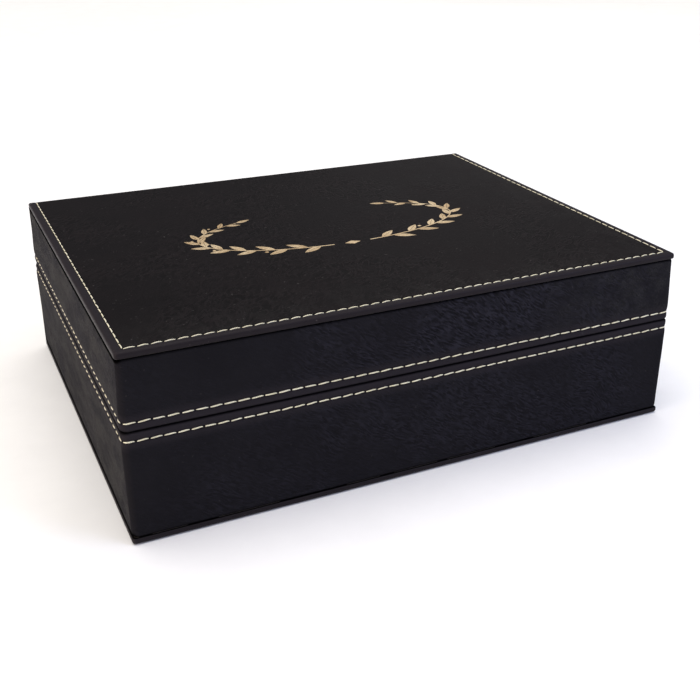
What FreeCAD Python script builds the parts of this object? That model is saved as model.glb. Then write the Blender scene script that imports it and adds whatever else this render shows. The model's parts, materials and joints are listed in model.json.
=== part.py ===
import FreeCAD, Part
import os
import Sketcher

# A hinged gift box: boards wrapped in leatherette, sewn along their edges and lined inside.
# Millimetres, +Z up, +X along the front, -Y to the front, origin under the middle of the box.

document = FreeCAD.newDocument("gift_box")
sheet = document.addObject("Spreadsheet::Sheet", "Sizes")

sizes = [
    # The whole box
    ("cover_length", 248.0, "left edge to right edge of the cover"),
    ("cover_width", 198.0, "front edge of the cover to the back"),
    ("box_height", 79.6, "underside to lid top"),
    ("seam_height", 47.9, "middle of the seam between base and lid"),
    ("rim_gap", 0.3, "gap between the two rims when shut"),
    # Sheet and board thicknesses
    ("leather", 0.6, "leatherette"),
    ("board", 1.4, "top and bottom boards"),
    ("wall", 5.0, "wall boards"),
    ("lining", 1.8, "lined card on the walls"),
    ("panel", 2.2, "lined floor and ceiling panels"),
    # Wrapped top and bottom plates
    ("plate_overhang", 0.3, "plate edge beyond the wall leatherette"),
    ("plate_edge_round", 1.2, "outer edge of a wrapped plate"),
    ("plate_low_round", 0.9, "edge of a wrapped plate over the walls"),
    ("plate_corner_round", 1.6, "upright front corners of a wrapped plate"),
    # Rims and upright corners
    ("rim_swell", 0.3, "hem at the rim beyond the plate edge"),
    ("rim_corner_round", 3.0, "upright corner at the hem"),
    ("rim_round", 2.2, "outer edge of the rim"),
    ("hem_height", 10.0, "plumb hem at the rim"),
    ("turn_in", 14.0, "leatherette turned in over the rim"),
    # Leatherette hinge
    ("hinge_round", 3.0, "outer back edge at the seam"),
    ("lid_swing", 105.0, "angle at which the back edges meet"),
    ("swing_clearance", 0.15, "room left between the back edges when open"),
    ("fold_radius", 0.4, "folded hinge strip in the seam"),
    # Lining and closure
    ("lining_setback", 5.0, "rim to the edge of the wall lining"),
    ("fit_clearance", 0.3, "floor and ceiling panels to the walls"),
    ("magnet_length", 12.0, "along the front wall"),
    ("magnet_width", 3.0, "across the front wall"),
    ("magnet_depth", 3.0, "into the front wall"),
    ("magnet_spacing", 120.0, "between the two magnets of a wall"),
    # Stitching
    ("stitch_inset", 3.7, "plate edge to the row on the lid top"),
    ("rim_stitch_offset", 3.8, "middle of the seam to the rows on the rims"),
    ("stitch_pitch", 5.2, "one stitch and its gap"),
    ("stitch_gap", 1.0, "between two stitches"),
    ("thread_width", 0.9, "across a stitch"),
    ("thread_height", 0.4, "stitch above the leatherette"),
    ("thread_core", 0.15, "sunken thread between the stitches"),
]
for row, (alias, value, note) in enumerate(sizes, start=1):
    sheet.set(f"A{row}", alias)
    sheet.set(f"B{row}", str(value))
    sheet.setAlias(f"B{row}", alias)
    sheet.set(f"C{row}", note)
document.recompute()


def number(expression):
    return float(sheet.evalExpression(expression))


# Places worked out from the sizes, as expressions of the sheet's cells
plate = "(2 * Sizes.leather + Sizes.board)"
board_face = "(Sizes.leather + Sizes.board)"
panel_face = f"({board_face} + Sizes.panel)"
side_edge = "(Sizes.cover_length / 2)"
set_back = "((Sizes.rim_swell + Sizes.thread_height) / 2)"
front_edge = f"({set_back} - Sizes.cover_width / 2)"
back_face = f"({set_back} + Sizes.cover_width / 2)"
rim_inset = "(-Sizes.rim_swell)"
wall_inset = "(Sizes.plate_overhang + Sizes.leather)"
side_wall_out = f"({side_edge} - {wall_inset})"
side_wall_in = f"({side_wall_out} - Sizes.wall)"
front_wall_out = f"({front_edge} + {wall_inset})"
front_wall_in = f"({front_wall_out} + Sizes.wall)"
back_wall_out = f"({back_face} - Sizes.leather)"
back_wall_in = f"({back_wall_out} - Sizes.wall)"
corner_inset = "(Sizes.rim_corner_round - Sizes.rim_swell)"
hinge_start = f"({back_face} - Sizes.hinge_round)"
half_gap = "(Sizes.rim_gap / 2)"
half_swing = "(Sizes.lid_swing / 2 * 1 deg)"
shut_reach = f"({half_gap} + Sizes.hinge_round)"
open_reach = f"(Sizes.hinge_round + Sizes.swing_clearance - {shut_reach} * cos{half_swing})"
hinge_depth = f"(Sizes.hinge_round - {open_reach} / sin{half_swing})"
stitch_length = "(Sizes.stitch_pitch - Sizes.stitch_gap)"


class Half:
    """The lid or the base, with heights counted from its plate's outer face or from its rim."""

    def __init__(self, name, plate_name, panel_name, up):
        self.name = name
        self.plate_name = plate_name
        self.panel_name = panel_name
        self.up = up

    def level(self, depth):
        return f"(Sizes.box_height - {depth})" if self.up else f"({depth})"

    def rim(self, distance):
        sign = "+" if self.up else "-"
        return f"(Sizes.seam_height {sign} ({half_gap} + {distance}))"

    def seam(self, distance):
        return f"(Sizes.seam_height {'+' if self.up else '-'} {distance})"

    def span(self, near_plate, near_rim):
        return (near_rim, near_plate) if self.up else (near_plate, near_rim)


lid = Half("lid", "lid_top", "lid_ceiling_panel", True)
base = Half("base", "base_bottom", "base_floor_panel", False)
nodes = []


def node(item, label):
    item.Label = label
    nodes.append(item)
    return item


def block(name, x_span, y_span, z_span):
    item = document.addObject("Part::Box", name)
    for side, axis, (low, high) in zip(("Length", "Width", "Height"), "xyz", (x_span, y_span, z_span)):
        item.setExpression(side, f"{high} - {low}")
        item.setExpression(f"Placement.Base.{axis}", low)
    return item


def cut(name, item, *tools):
    for count, tool in enumerate(tools):
        step = document.addObject("Part::Cut", f"{name}_cut{count}")
        step.Base = item
        step.Tool = tool
        item = step
    return item


def fuse(name, *items):
    item = document.addObject("Part::MultiFuse", name)
    item.Shapes = list(items)
    return item


def mirrored(x_span):
    low, high = x_span
    return f"(-{high})", f"(-{low})"


def both(half_size):
    return f"(-{half_size})", half_size


def origin_plane(body, role):
    return next(item for item in body.Origin.OriginFeatures if item.Role == role)


# An outline is a list of corners (across, up) or (across, up, radius, bulge): with a radius, an arc
# leads to the next corner, and bulge is the corner point that the arc rounds off.
def sketch(body, name, role, outline, lift=None):
    item = body.newObject("Sketcher::SketchObject", name)
    item.AttachmentSupport = [(origin_plane(body, role), "")]
    item.MapMode = "FlatFace"
    if lift:
        item.setExpression("AttachmentOffset.Base.z", lift)
    corners = [FreeCAD.Vector(number(point[0]), number(point[1]), 0) for point in outline]
    for index, point in enumerate(outline):
        start, end = corners[index], corners[(index + 1) % len(corners)]
        if len(point) == 2:
            item.addGeometry(Part.LineSegment(start, end))
            continue
        centre = start + end - FreeCAD.Vector(number(point[3][0]), number(point[3][1]), 0)
        circle = Part.Circle(centre, FreeCAD.Vector(0, 0, 1), number(point[2]))
        ends = (start, end) if (start - centre).cross(end - centre).z > 0 else (end, start)
        item.addGeometry(Part.ArcOfCircle(circle, *[circle.parameter(corner) for corner in ends]))
    for index, point in enumerate(outline):
        following = (index + 1) % len(outline)
        item.addConstraint(
            Sketcher.Constraint("Coincident", index, end_at(item, index, corners[following]), following,
                                end_at(item, following, corners[following]))
        )
    for index, point in enumerate(outline):
        place = end_at(item, index, corners[index])
        for kind, axis, expression in (("DistanceX", -2, point[0]), ("DistanceY", -1, point[1])):
            if number(expression) == 0:
                item.addConstraint(Sketcher.Constraint("PointOnObject", index, place, axis))
                continue
            datum = Sketcher.Constraint(kind, -1, 1, index, place, number(expression))
            item.setExpression(f"Constraints[{item.addConstraint(datum)}]", expression)
        if len(point) > 2:
            datum = Sketcher.Constraint("Radius", index, number(point[2]))
            item.setExpression(f"Constraints[{item.addConstraint(datum)}]", point[2])
    return item


# An arc of a sketch runs counterclockwise, so its first point may be where the outline leaves it
def end_at(item, index, corner):
    shape = item.Geometry[index]
    return 1 if shape.StartPoint.distanceToPoint(corner) < shape.EndPoint.distanceToPoint(corner) else 2


def pad(body, name, profile, length, symmetric=False):
    item = body.newObject("PartDesign::Pad", name)
    item.Profile = profile
    item.setExpression("Length", length)
    item.SideType = "Symmetric" if symmetric else "One side"
    return item


def prism(name, role, outline, length, symmetric=True, lift=None):
    body = document.addObject("PartDesign::Body", name)
    profile = sketch(body, f"{name}_outline", role, outline, lift)
    pad(body, f"{name}_pad", profile, length, symmetric)
    return body


def round_edges(body, name, radius, chosen):
    document.recompute()
    whole = body.Tip
    edges = [f"Edge{count}" for count, edge in enumerate(whole.Shape.Edges, start=1) if chosen(edge)]
    item = body.newObject("PartDesign::Fillet", name)
    item.Base = (whole, edges)
    item.setExpression("Radius", radius)


# The outline that walls and hems share: square at the back, its front corners round about the same centres
def frame_outline(inset, back):
    edge_x = f"({side_edge} - {inset})"
    edge_y = f"({front_edge} + {inset})"
    radius = f"({corner_inset} - {inset})"
    centre_x = f"({side_edge} - {corner_inset})"
    centre_y = f"({front_edge} + {corner_inset})"
    return [
        (edge_x, back),
        (f"(-{edge_x})", back),
        (f"(-{edge_x})", centre_y, radius, (f"(-{edge_x})", edge_y)),
        (f"(-{centre_x})", edge_y),
        (centre_x, edge_y, radius, (edge_x, edge_y)),
        (edge_x, centre_y),
    ]


# Top or bottom plate: a board with a quarter-round back edge, wrapped in leatherette that is turned in
# over the other three edges as far as the walls' inner faces
def plate_pieces(half):
    name = half.plate_name
    board_front = f"({front_edge} + Sizes.leather)"
    board_back = f"({back_face} - {board_face})"
    board_top = half.level("Sizes.leather")
    board_item = prism(
        f"{name}_board", "YZ_Plane",
        [
            (board_front, half.level(board_face)),
            (board_front, board_top),
            (board_back, board_top, "Sizes.board", (back_wall_out, board_top)),
            (back_wall_out, half.level(board_face)),
        ],
        f"2 * ({side_edge} - Sizes.leather)",
    )
    wrap = prism(
        f"{name}_wrap", "YZ_Plane",
        [
            (front_edge, half.level(plate)),
            (front_edge, half.level("0")),
            (board_back, half.level("0"), board_face, (back_face, half.level("0"))),
            (back_face, half.level(board_face)),
            (back_face, half.level(plate)),
        ],
        "Sizes.cover_length",
    )
    edge_x, edge_y = number(side_edge), number(front_edge)
    near = number("Sizes.leather")
    outer, inner = number(half.level("0")), number(half.level(plate))

    def upright_corner(edge):
        centre = edge.CenterOfMass
        return abs(abs(centre.x) - edge_x) + abs(centre.y - edge_y) < near

    def rim_of(height):
        def chosen(edge):
            centre = edge.CenterOfMass
            flat = edge.BoundBox.ZLength < near / 2
            at_side = abs(abs(centre.x) - edge_x) < near
            at_front = centre.y < edge_y + number("Sizes.wall")
            return flat and (at_side or at_front) and abs(centre.z - height) < near / 2
        return chosen

    round_edges(wrap, f"{name}_corners", "Sizes.plate_corner_round", upright_corner)
    round_edges(wrap, f"{name}_edges", "Sizes.plate_edge_round", rim_of(outer))
    round_edges(wrap, f"{name}_low_edges", "Sizes.plate_low_round", rim_of(inner))
    window = block(
        f"{name}_window", both(side_wall_in), (front_wall_in, back_wall_out),
        half.span(half.level(board_face), half.level(f"(2 * {plate})")),
    )
    node(board_item, f"{name}_board")
    node(cut(f"{name}_leatherette", wrap, board_item, window), f"{name}_leatherette")


# Room that the rounded back edge at the seam takes from walls and hems
def back_edge_trim(half):
    centre_z = half.rim("Sizes.hinge_round")
    corner = block(
        f"{half.name}_back_corner", both(side_edge), (hinge_start, f"({back_face} + Sizes.leather)"),
        half.span(centre_z, half.seam("0")),
    )
    roll = document.addObject("Part::Cylinder", f"{half.name}_back_roll")
    roll.Placement.Rotation = FreeCAD.Rotation(FreeCAD.Vector(0, 1, 0), 90)
    roll.setExpression("Radius", "Sizes.hinge_round - Sizes.leather")
    roll.setExpression("Height", "Sizes.cover_length")
    roll.setExpression("Placement.Base.x", f"-{side_edge}")
    roll.setExpression("Placement.Base.y", hinge_start)
    roll.setExpression("Placement.Base.z", centre_z)
    return cut(f"{half.name}_back_trim", corner, roll)


def wall_pieces(half, trim):
    name = half.name
    z_span = half.span(half.level(plate), half.rim("Sizes.leather"))
    back_z_span = half.span(half.level(board_face), half.rim("Sizes.leather"))
    magnet_y = f"({front_wall_out} + Sizes.wall / 2)"
    magnet_x = "(Sizes.magnet_spacing / 2)"
    magnet_x_span = (f"({magnet_x} - Sizes.magnet_length / 2)", f"({magnet_x} + Sizes.magnet_length / 2)")
    magnet_y_span = (f"({magnet_y} - Sizes.magnet_width / 2)", f"({magnet_y} + Sizes.magnet_width / 2)")
    magnet_z_span = half.span(half.rim("(Sizes.leather + Sizes.magnet_depth)"), half.rim("Sizes.leather"))
    bars = [
        block(f"{name}_magnet_{side}", x_span, magnet_y_span, magnet_z_span)
        for side, x_span in (("right", magnet_x_span), ("left", mirrored(magnet_x_span)))
    ]
    magnets = document.addObject("Part::Compound", f"{name}_magnets")
    magnets.Links = bars
    node(magnets, f"{name}_closure_magnets")

    front = block(f"{name}_front_board", both(side_wall_in), (front_wall_out, front_wall_in), z_span)
    node(cut(f"{name}_front", front, *bars), f"{name}_front_wall")
    back = block(f"{name}_back_board", both(side_wall_in), (back_wall_in, back_wall_out), back_z_span)
    node(cut(f"{name}_back", back, trim), f"{name}_back_wall")

    radius = f"({corner_inset} - {wall_inset})"
    centre_x = f"({side_edge} - {corner_inset})"
    centre_y = f"({front_edge} + {corner_inset})"
    height = f"{z_span[1]} - {z_span[0]}"
    for side, sign in (("left", "-"), ("right", "")):
        outline = [
            (f"({sign}{side_wall_out})", back_wall_out),
            (f"({sign}{side_wall_in})", back_wall_out),
            (f"({sign}{side_wall_in})", front_wall_out),
            (f"({sign}{centre_x})", front_wall_out, radius, (f"({sign}{side_wall_out})", front_wall_out)),
            (f"({sign}{side_wall_out})", centre_y),
        ]
        side_wall = prism(f"{name}_{side}_board", "XY_Plane", outline, height, False, z_span[0])
        node(cut(f"{name}_{side}", side_wall, trim), f"{name}_{side}_wall")


# Leatherette round the front and side walls: it slopes out to a plumb hem, rolls over the rim and is
# turned in on the inner faces
def side_leatherette(half, trim):
    name = f"{half.name}_side"
    hem_outline = frame_outline(rim_inset, back_wall_out)
    plate_outline = frame_outline("Sizes.plate_overhang", back_wall_out)
    hem_top = half.rim("Sizes.hem_height")
    hem_span = half.span(hem_top, half.rim("0"))
    body = prism(f"{name}_form", "XY_Plane", hem_outline, "Sizes.hem_height", False, hem_span[0])
    rim_height = number(half.rim("0"))

    def rim_edge(edge):
        box = edge.BoundBox
        at_rim = abs(box.ZMin - rim_height) + abs(box.ZMax - rim_height) < number("Sizes.leather")
        return at_rim and edge.CenterOfMass.y < number(back_wall_out) - number("Sizes.leather")

    round_edges(body, f"{name}_rim_round", "Sizes.rim_round", rim_edge)
    slope = [
        sketch(body, f"{name}_hem_section", "XY_Plane", hem_outline, hem_top),
        sketch(body, f"{name}_plate_section", "XY_Plane", plate_outline, half.level(plate)),
    ]
    loft = body.newObject("PartDesign::AdditiveLoft", f"{name}_slope")
    loft.Profile = slope[0]
    loft.Sections = slope[1:]
    loft.Ruled = True
    skin_in = f"({side_wall_in} - Sizes.leather)"
    skin_front = f"({front_wall_in} + Sizes.leather)"
    whole = half.span(half.level("0"), half.seam("0"))
    past_turn_in = half.span(half.level("0"), half.rim("Sizes.turn_in"))
    inside = block(f"{name}_inside", both(skin_in), (skin_front, back_face), whole)
    above = block(f"{name}_above", both(side_wall_in), (front_wall_in, back_face), past_turn_in)
    behind = block(f"{name}_behind", both(side_wall_in), (back_wall_in, back_face), whole)
    inner_pieces = ("front_wall", "left_wall", "right_wall", "closure_magnets")
    covered = [f"{half.name}_{piece}" for piece in inner_pieces]
    boards = [item for item in nodes if item.Label in covered]
    return node(cut(name, body, inside, above, behind, *boards, trim), f"{name}_leatherette")


# Leatherette down the back, rolled round the back edge into the seam
def back_leatherette(half):
    radius = "Sizes.hinge_round"
    inner = f"({radius} - Sizes.leather)"
    outline = [
        (back_face, half.level(plate)),
        (back_face, half.rim(radius), radius, (back_face, half.rim("0"))),
        (hinge_start, half.rim("0")),
        (hinge_start, half.rim("Sizes.leather"), inner, (back_wall_out, half.rim("Sizes.leather"))),
        (back_wall_out, half.rim(radius)),
        (back_wall_out, half.level(plate)),
    ]
    back_sheet = prism(f"{half.name}_back_sheet", "YZ_Plane", outline, "Sizes.cover_length")
    node(back_sheet, f"{half.name}_back_leatherette")


# Half of the hinge strip: over the back rim and down the inner face
def hinge_strip(half):
    inner_y = f"({back_wall_in} - Sizes.leather)"
    on_rim = block(
        f"{half.name}_strip_rim", both(side_wall_in), (back_wall_in, hinge_start),
        half.span(half.rim("Sizes.leather"), half.rim("0")),
    )
    on_face = block(
        f"{half.name}_strip_face", both(f"({side_wall_in} - Sizes.leather)"), (inner_y, back_wall_in),
        half.span(half.rim("Sizes.turn_in"), half.rim("0")),
    )
    return node(fuse(f"{half.name}_strip", on_rim, on_face), f"{half.name}_hinge_strip")


# Lined panels: one on the plate, four on the walls, these cut round the turned-in leatherette
def lining_pieces(half, skin, strip):
    name = half.name
    panel_x = f"({side_wall_in} - Sizes.fit_clearance)"
    panel_y = (f"({front_wall_in} + Sizes.fit_clearance)", f"({back_wall_in} - Sizes.fit_clearance)")
    panel_z = half.span(half.level(board_face), half.level(panel_face))
    node(block(half.panel_name + "_card", both(panel_x), panel_y, panel_z), half.panel_name)
    z_span = half.span(half.level(panel_face), half.rim("Sizes.lining_setback"))
    front_y = (front_wall_in, f"({front_wall_in} + Sizes.lining)")
    back_y = (f"({back_wall_in} - Sizes.lining)", back_wall_in)
    side_x = (f"({side_wall_in} - Sizes.lining)", side_wall_in)
    places = {
        "front": (both(side_wall_in), front_y),
        "back": (both(side_wall_in), back_y),
        "left": (mirrored(side_x), (front_y[1], back_y[0])),
        "right": (side_x, (front_y[1], back_y[0])),
    }
    for side, (x_span, y_span) in places.items():
        card = block(f"{name}_{side}_card", x_span, y_span, z_span)
        node(cut(f"{name}_{side}_card", card, skin, strip), f"{name}_{side}_lining")


# A row of stitches as boxes on one sunken thread
def stitch_row(body, name, profile_role, first, direction, run, height, lift):
    profile = sketch(body, f"{name}_stitch_outline", profile_role, first, lift)
    stitch = pad(body, f"{name}_stitch", profile, height)
    row = body.newObject("PartDesign::LinearPattern", f"{name}_row")
    row.Originals = [stitch]
    row.Direction = (next(item for item in body.Origin.OriginFeatures if item.Role == direction), [""])
    row.setExpression("Length", f"{run} - {stitch_length}")
    row.setExpression("Occurrences", f"max(2; round({run} / Sizes.stitch_pitch))")
    body.Tip = row


def rectangle(x_span, y_span):
    return [(x_span[0], y_span[0]), (x_span[1], y_span[0]), (x_span[1], y_span[1]), (x_span[0], y_span[1])]


# Three straight rows and the thread that joins them round the front corners
def stitch_rows(label, core, rows):
    body = document.addObject("PartDesign::Body", f"{label}_thread")
    core(body)
    for name, profile, direction, run, height, lift in rows:
        stitch_row(body, f"{label}_{name}", "XY_Plane", profile, direction, run, height, lift)
    node(body, label)


def top_stitching():
    half_thread = "(Sizes.thread_width / 2)"
    row_x = f"({side_edge} - Sizes.stitch_inset)"
    row_y = f"({front_edge} + Sizes.stitch_inset)"
    row_end = f"({back_face} - {board_face})"
    outer_x = f"({row_x} + {half_thread})"
    inner_x = f"({row_x} - {half_thread})"
    outer_y = f"({row_y} - {half_thread})"
    inner_y = f"({row_y} + {half_thread})"
    track = [
        (outer_x, row_end),
        (inner_x, row_end),
        (inner_x, inner_y),
        (f"(-{inner_x})", inner_y),
        (f"(-{inner_x})", row_end),
        (f"(-{outer_x})", row_end),
        (f"(-{outer_x})", outer_y),
        (outer_x, outer_y),
    ]

    def core(body):
        profile = sketch(body, "lid_top_core_outline", "XY_Plane", track, "Sizes.box_height")
        pad(body, "lid_top_core", profile, "Sizes.thread_core")

    height, lift = "Sizes.thread_height", "Sizes.box_height"
    front_x = (f"(-{outer_x})", f"({stitch_length} - {outer_x})")
    side_start = f"({inner_y} + Sizes.stitch_gap)"
    side_y = (side_start, f"({side_start} + {stitch_length})")
    side_x = (inner_x, outer_x)
    side_run = f"({row_end} - {side_start})"
    stitch_rows("lid_top_stitching", core, [
        ("front", rectangle(front_x, (outer_y, inner_y)), "X_Axis", f"(2 * {outer_x})", height, lift),
        ("left", rectangle(mirrored(side_x), side_y), "Y_Axis", side_run, height, lift),
        ("right", rectangle(side_x, side_y), "Y_Axis", side_run, height, lift),
    ])


def rim_stitching(half):
    width = "Sizes.thread_width"
    low = f"({half.seam('Sizes.rim_stitch_offset')} - {width} / 2)"
    core_inset = f"({rim_inset} - Sizes.thread_core)"
    row_end = f"({back_wall_out} - Sizes.hinge_round)"
    hem_x = f"({side_edge} + Sizes.rim_swell)"
    hem_y = f"({front_edge} - Sizes.rim_swell)"
    out_x = f"({hem_x} + Sizes.thread_height)"
    out_y = f"({hem_y} - Sizes.thread_height)"
    straight_x = f"({side_edge} - {corner_inset})"
    straight_y = f"({front_edge} + {corner_inset})"
    outer, inner = frame_outline(core_inset, row_end), frame_outline(rim_inset, row_end)
    label = f"{half.name}_rim_stitching"

    def core(body):
        profile = sketch(body, f"{label}_core_outline", "XY_Plane", band_outline(outer, inner), low)
        pad(body, f"{label}_core", profile, width)

    front_x = (f"(-{straight_x})", f"({stitch_length} - {straight_x})")
    side_y = (straight_y, f"({straight_y} + {stitch_length})")
    side_x = (hem_x, out_x)
    side_run = f"({row_end} - {straight_y})"
    stitch_rows(label, core, [
        ("front", rectangle(front_x, (out_y, hem_y)), "X_Axis", f"(2 * {straight_x})", width, low),
        ("left", rectangle(mirrored(side_x), side_y), "Y_Axis", side_run, width, low),
        ("right", rectangle(side_x, side_y), "Y_Axis", side_run, width, low),
    ])


# The band between two frame outlines, open at the back
def band_outline(outer, inner):
    arcs = {5: inner[4][2:], 3: inner[2][2:]}
    way_back = [inner[index][:2] + arcs.get(index, ()) for index in (5, 4, 3, 2, 1)]
    return outer[1:] + [outer[0], inner[0]] + way_back


def half_pieces(half):
    plate_pieces(half)
    trim = back_edge_trim(half)
    wall_pieces(half, trim)
    skin = side_leatherette(half, trim)
    back_leatherette(half)
    strip = hinge_strip(half)
    lining_pieces(half, skin, strip)
    rim_stitching(half)


half_pieces(base)
half_pieces(lid)
top_stitching()

# The fold of the hinge strip, on the axis that the lid turns about
fold = document.addObject("Part::Cylinder", "hinge_roll")
fold.Placement.Rotation = FreeCAD.Rotation(FreeCAD.Vector(0, 1, 0), 90)
fold.setExpression("Radius", "Sizes.fold_radius")
fold.setExpression("Height", f"2 * {side_wall_in}")
fold.setExpression("Placement.Base.x", f"-{side_wall_in}")
fold.setExpression("Placement.Base.y", f"{back_face} - {hinge_depth}")
fold.setExpression("Placement.Base.z", "Sizes.seam_height")
node(fold, "hinge_fold")

document.recompute()
for item in document.Objects:
    if "Invalid" in item.State or "Error" in item.State:
        raise RuntimeError(f"{item.Label} did not recompute: {item.State}")
for item in nodes:
    if item.Shape.isNull() or not item.Shape.isValid():
        raise RuntimeError(f"{item.Label} has no valid shape")

os.makedirs("parts", exist_ok=True)
for item in nodes:
    item.Shape.exportStep(f"parts/{item.Label}.step")
    print(item.Label, len(item.Shape.Solids), round(item.Shape.Volume, 1))
print("hinge axis depth", round(number(hinge_depth), 4))
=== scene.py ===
import json
import math
import random

import bmesh
import bpy
from mathutils import Matrix, Vector, noise


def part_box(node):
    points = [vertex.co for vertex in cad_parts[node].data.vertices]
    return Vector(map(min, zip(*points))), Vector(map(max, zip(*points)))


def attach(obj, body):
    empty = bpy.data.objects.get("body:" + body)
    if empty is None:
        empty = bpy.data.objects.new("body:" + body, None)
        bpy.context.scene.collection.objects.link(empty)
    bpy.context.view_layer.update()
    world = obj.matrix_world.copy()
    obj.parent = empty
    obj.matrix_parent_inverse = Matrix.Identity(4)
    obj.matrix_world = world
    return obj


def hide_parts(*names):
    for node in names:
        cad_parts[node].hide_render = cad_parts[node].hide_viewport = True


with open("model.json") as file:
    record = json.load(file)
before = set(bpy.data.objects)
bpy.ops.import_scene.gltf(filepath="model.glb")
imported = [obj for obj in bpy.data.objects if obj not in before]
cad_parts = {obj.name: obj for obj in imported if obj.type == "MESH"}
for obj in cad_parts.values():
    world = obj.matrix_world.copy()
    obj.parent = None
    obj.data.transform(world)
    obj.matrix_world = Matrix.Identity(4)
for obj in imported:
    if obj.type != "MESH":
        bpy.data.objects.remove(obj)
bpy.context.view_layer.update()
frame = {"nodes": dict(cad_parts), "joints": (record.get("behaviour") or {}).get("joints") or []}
mm = 0.001
random.seed(11)
print("frame loaded:", len(frame["nodes"]), "nodes")


def hexColour(code):  # sRGB hex to linear RGBA
    parts = [int(code[i:i + 2], 16) / 255 for i in (1, 3, 5)]
    return (*[p / 12.92 if p <= 0.04045 else ((p + 0.055) / 1.055) ** 2.4 for p in parts], 1.0)


def perMetre(sizeMm):  # texture scale for a feature of this size in mm
    return 1000.0 / sizeMm


def addNode(tree, kind, values={}, links={}, **options):
    node = tree.nodes.new(kind)
    for key, value in options.items():
        setattr(node, key, value)
    for key, value in values.items():
        node.inputs[key].default_value = value
    for key, socket in links.items():
        tree.links.new(socket, node.inputs[key])
    return node


def newMaterial(name):
    material = bpy.data.materials.new(name)
    material.use_nodes = True
    material.node_tree.nodes.clear()
    return material, material.node_tree


def closeMaterial(tree, values, links):
    skin = addNode(tree, "ShaderNodeBsdfPrincipled", values, links)
    addNode(tree, "ShaderNodeOutputMaterial", {}, {"Surface": skin.outputs["BSDF"]})


# what each leatherette piece says of its film, point by point: painted shade in grooves, seams and stitch rows, pale
# pulled edges that also carry a painted highlight, no creases, a pale haze that is also painted light
filmMarks = ("paintedShade", "stretch", "taut", "handledAndLit")
# what both leatherettes share, sizes in mm
# the pale colour below is a bloom that also serves as painted light; the near-black one is painted shade for grooves,
# the seam and the stitch rows
wear = dict(relief=0.4, slackLeast=0.06, hazeSize=7.0, hazeLean=-30.0, hazeDraw=0.42, hazeRange=(0.37, 0.64),
            hazeShare=(0.06, 0.54), hazeAndLight="#403F3D", lintSize=1.3, lint="#6A6664", grooveShade="#020202")
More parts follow.
